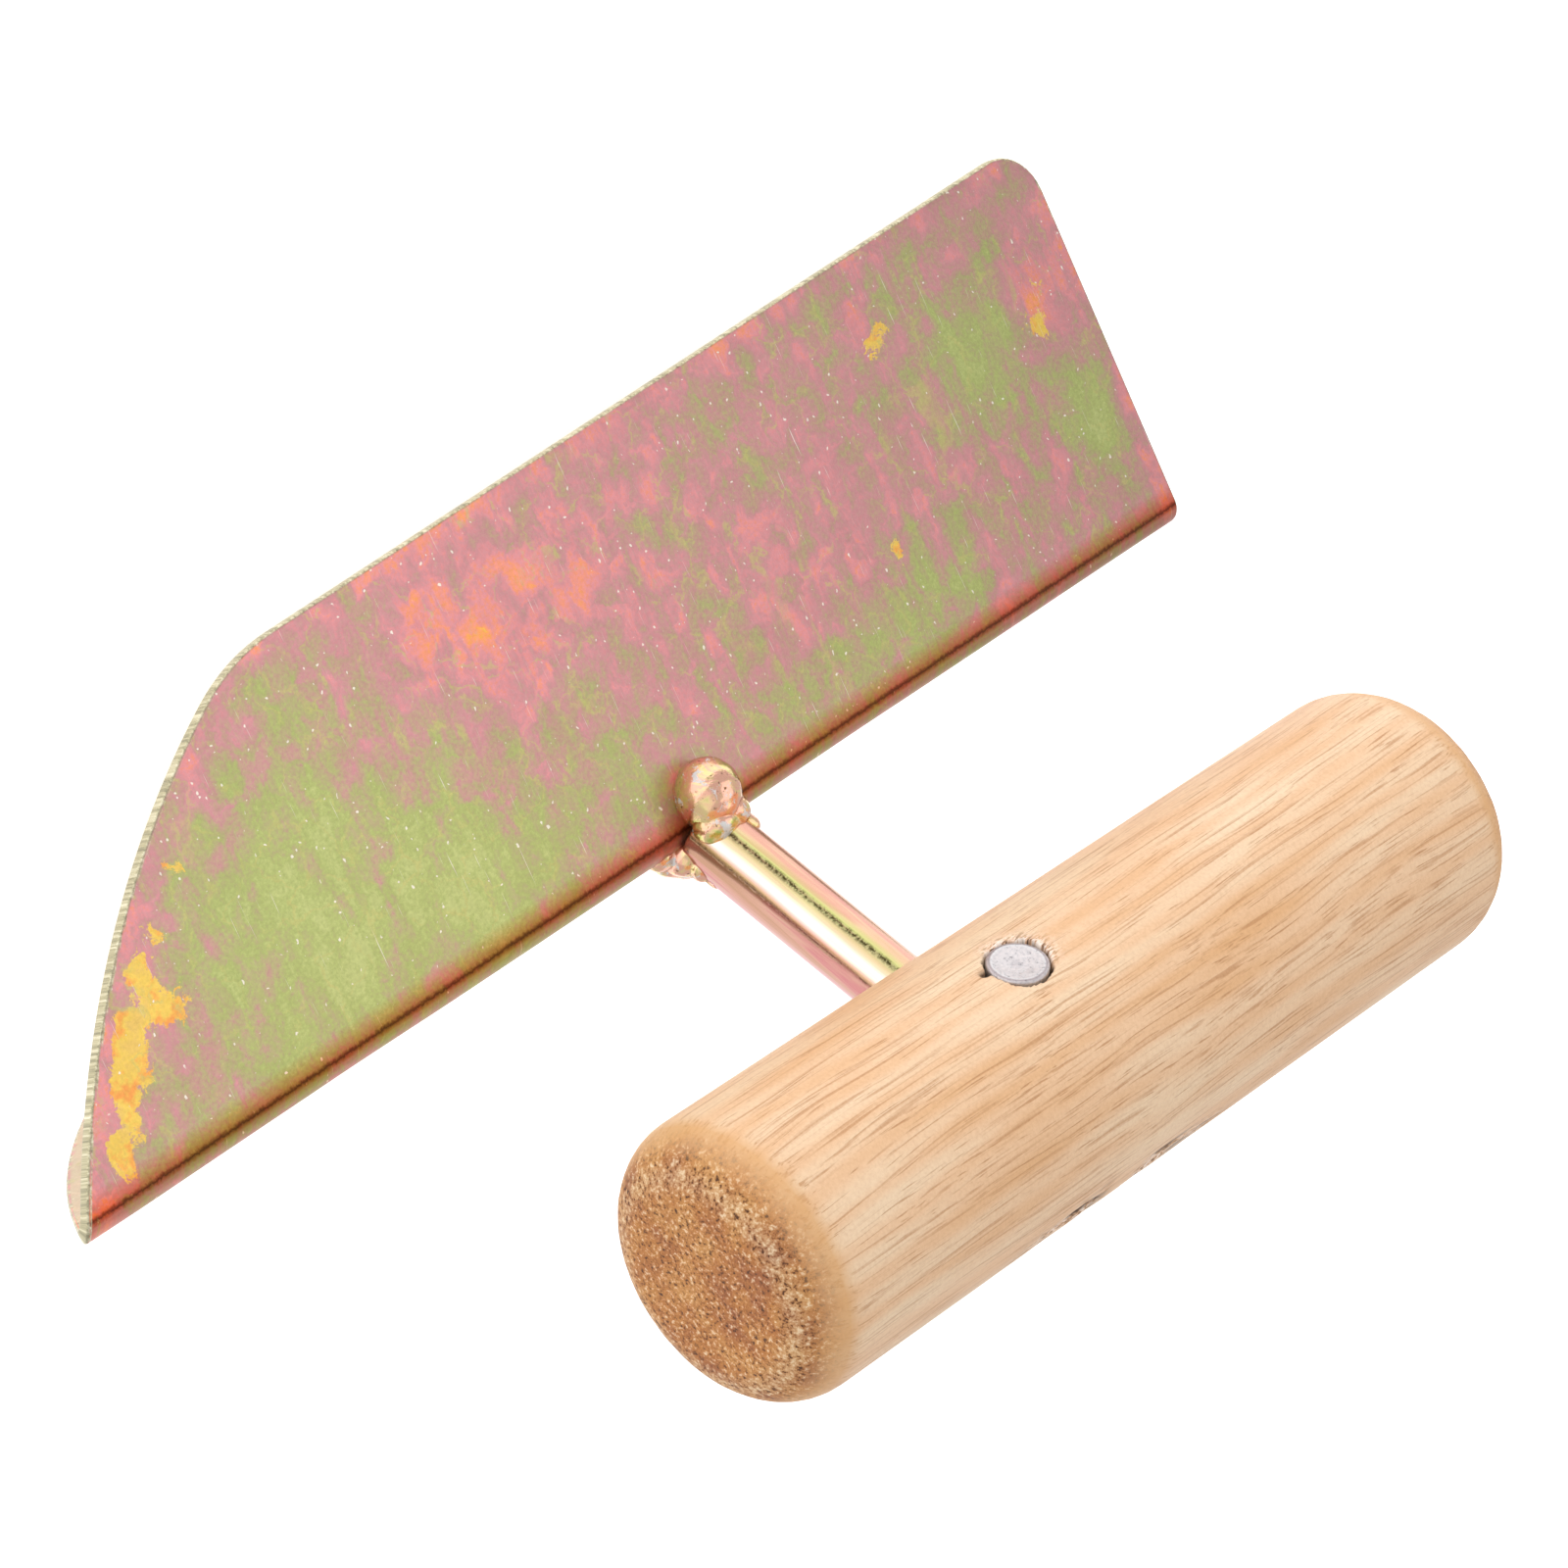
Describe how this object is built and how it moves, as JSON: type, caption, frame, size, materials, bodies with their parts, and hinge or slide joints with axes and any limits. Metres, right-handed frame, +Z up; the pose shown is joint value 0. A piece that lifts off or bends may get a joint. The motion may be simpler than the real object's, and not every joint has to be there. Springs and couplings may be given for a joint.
{
  "type": "v-bladed hand tool with cross handle",
  "caption": "Folded V-shaped steel blade with a pointed nose, welded to a short round bar that carries a turned wooden cross handle held by a cross pin.",
  "frame": {"origin": "bottom centre of the whole tool's box, with the tool standing on the free edges of the blade's two wings", "axes": "+X runs along the fold towards the pointed nose, +Z up along the bar from the fold to the handle, +Y across the fold; the V opens downward"},
  "size_m": [0.1756, 0.0646, 0.0983],
  "materials": {
    "zinc_yellow": "yellow chromate over zinc, iridescent green and pink, satin",
    "zinc_weld": "plated weld metal, shiny with grey slag",
    "beech": "turned hardwood, fine sanded, thin clear coat",
    "pin_steel": "plain grey metal, satin"
  },
  "bodies": {
    "root": {"blade": "zinc_yellow", "bar": "zinc_yellow", "weld_near": "zinc_weld", "weld_far": "zinc_weld", "handle": "beech", "cross_pin": "pin_steel"}
  },
  "joints": []
}
